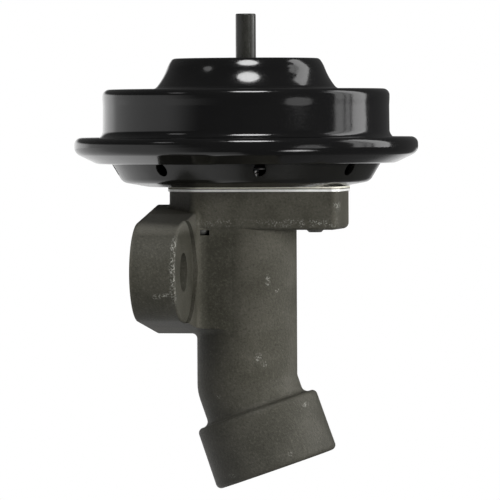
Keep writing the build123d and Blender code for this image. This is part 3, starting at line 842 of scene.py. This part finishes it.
# ---- Return spring -----------------------------------------------------------------------
# A coil spring of 1.9 mm oil-tempered wire pushes the valve shut. Its end coils are closed and
# ground flat on the cup below and on the seat in the dome.

wire_r = 0.95
coil_r = 14.5
spring_low = 27.2
spring_high = 48.5
open_turns = 4.5
total_turns = open_turns + 2
steps_per_turn = 40
# The end coils' wire starts low enough to be ground flat, and rises by a wire in one turn.
ground_rise = 0.6 * wire_r
closed_rise = 1.9 * wire_r
wire_finish = Finish("oil_tempered_wire")
drawn = wire_finish.noise(wire_finish.place(scale=(1, 1, 0.5)), 0.8, 3.0)
tempered = wire_finish.surface(
    Base_Color=wire_finish.blend(drawn, (0.07, 0.066, 0.065), (0.17, 0.16, 0.155)),
    Metallic=0.9,
    Roughness=drawn.ramp(0.3, 0.7, 0.28, 0.42),
    Normal=wire_finish.bump(drawn, 0.01),
)
path = bpy.data.curves.new("return_spring_coiled", "CURVE")
path.dimensions = "3D"
path.bevel_depth = wire_r * mm
path.bevel_resolution = 5
path.use_fill_caps = True
coil = path.splines.new("POLY")
steps = round(total_turns * steps_per_turn)
coil.points.add(steps)
middle_low = spring_low + ground_rise + closed_rise
middle_high = spring_high - ground_rise - closed_rise
for step in range(steps + 1):
    turns = step / steps_per_turn
    if turns < 1:
        height = spring_low + ground_rise + closed_rise * turns
    elif turns > total_turns - 1:
        height = spring_high - ground_rise - closed_rise * (total_turns - turns)
    else:
        height = middle_low + (middle_high - middle_low) * (turns - 1) / open_turns
    turn = turns * 2 * math.pi
    coil.points[step].co = (
        stem_x + coil_r * mm * math.cos(turn),
        coil_r * mm * math.sin(turn),
        height * mm,
        1,
    )
spring = bpy.data.objects.new("return_spring_coiled", path)
bpy.context.scene.collection.objects.link(spring)
bpy.ops.object.select_all(action="DESELECT")
spring.select_set(True)
bpy.context.view_layer.objects.active = spring
bpy.ops.object.convert(target="MESH")
bpy.ops.object.mode_set(mode="EDIT")
bpy.ops.mesh.select_all(action="SELECT")
bpy.ops.mesh.remove_doubles(threshold=same_place)
for level, upward in ((spring_low, 1), (spring_high, -1)):
    bpy.ops.mesh.select_all(action="SELECT")
    bpy.ops.mesh.bisect(
        plane_co=(stem_x, 0, level * mm),
        plane_no=(0, 0, upward),
        use_fill=True,
        clear_inner=True,
        threshold=1e-7,
    )
bpy.ops.object.mode_set(mode="OBJECT")
bpy.ops.object.shade_smooth_by_angle(angle=smooth_angle)
spring = new_piece("return_spring_coiled", tempered, "housing", "return_spring")
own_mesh(spring)

# ---- Upper cover -------------------------------------------------------------------------
# The cover is deep drawn from 1.2 mm sheet with a dome for the spring. Its rim is rolled
# round the bowl's flange, and its black enamel is thicker and glossier than the bowl's.

cover_t = 1.2
nipple_hole_r = 2.22
dome_z = 50.5
shoulder_z = 43.15
crest_z = 31.95
wall_foot_z = crest_z - 1.1
brim_r = 41.2
rim_z = 25.35
enamel = Finish("black_enamel")
enamel_wave = enamel.noise(enamel.place(), 7.0, 1.0)
enamel_grain = enamel.noise(enamel.place(), 0.5, 2.0, 0.6)
enamel_tone = enamel.blend(enamel_wave, (0.0026, 0.0026, 0.0027), (0.0042, 0.0042, 0.0043))
black_gloss = enamel.surface(
    Base_Color=enamel_tone,
    Roughness=enamel_grain.ramp(0.3, 0.7, 0.09, 0.15),
    IOR=enamel_ior,
    Normal=enamel.bump(enamel_grain, 0.004, enamel.bump(enamel_wave, 0.03)),
)
# The outer face, from the nipple's hole over the dome, shoulder and wall to the rolled rim.
turned(
    [
        (nipple_hole_r, dome_z, 0),
        (17.55, dome_z, 1.2),
        (18.56, 49.11, 7.9),
        (19.75, 45.84, 15.6),
        (21.85, shoulder_z, 2.0),
        (34.36, shoulder_z, 1.6),
        (34.41, 40.9, 10.0),
        (34.31, 39.2, 10.0),
        (34.4, wall_foot_z, 2.1),
        (brim_r, crest_z, 1.7),
        (brim_r, rim_z + 2.65, 2.2),
        (rim_roll_r, rim_z, 3.0),
        (33.38, rim_z, 0),
    ],
    256,
    wall=cover_t,
)
cover = new_piece("upper_cover_enamelled", black_gloss, "housing", "upper_cover")

# ---- Vacuum nipple -----------------------------------------------------------------------
# A steel tube with a flange inside the dome, brazed in before the enamel. The hose has rubbed
# its enamel duller than the cover's.

nipple_finish = Finish("rubbed_enamel")
rubbed = nipple_finish.noise(nipple_finish.place(scale=(1, 1, 0.3)), 0.7, 3.0)
nipple_tone = nipple_finish.blend(rubbed, (0.013, 0.013, 0.011), (0.024, 0.024, 0.021))
nipple_black = nipple_finish.surface(
    Base_Color=nipple_tone,
    Roughness=rubbed.ramp(0.3, 0.7, 0.24, 0.36),
    IOR=enamel_ior,
    Normal=nipple_finish.bump(rubbed, 0.01),
)
bore_r = 1.3
tube_r = 2.42
neck_r = 2.2
foot_r = 3.8
foot_low = 48.5
foot_high = 49.3
nipple_top = 61.2
# Round the section: the foot inside the dome, the neck in its hole, and the tube.
turned(
    [
        (bore_r, foot_low, 0),
        (foot_r, foot_low, 0.2),
        (foot_r, foot_high, 0),
        (neck_r, foot_high, 0),
        (neck_r, dome_z, 0),
        (tube_r, dome_z, 0),
        (tube_r, nipple_top, 0.35),
        (bore_r, nipple_top, 0.12),
    ],
    96,
    closed=True,
)
nipple = new_piece("vacuum_nipple_tube", nipple_black, "housing", "vacuum_nipple")
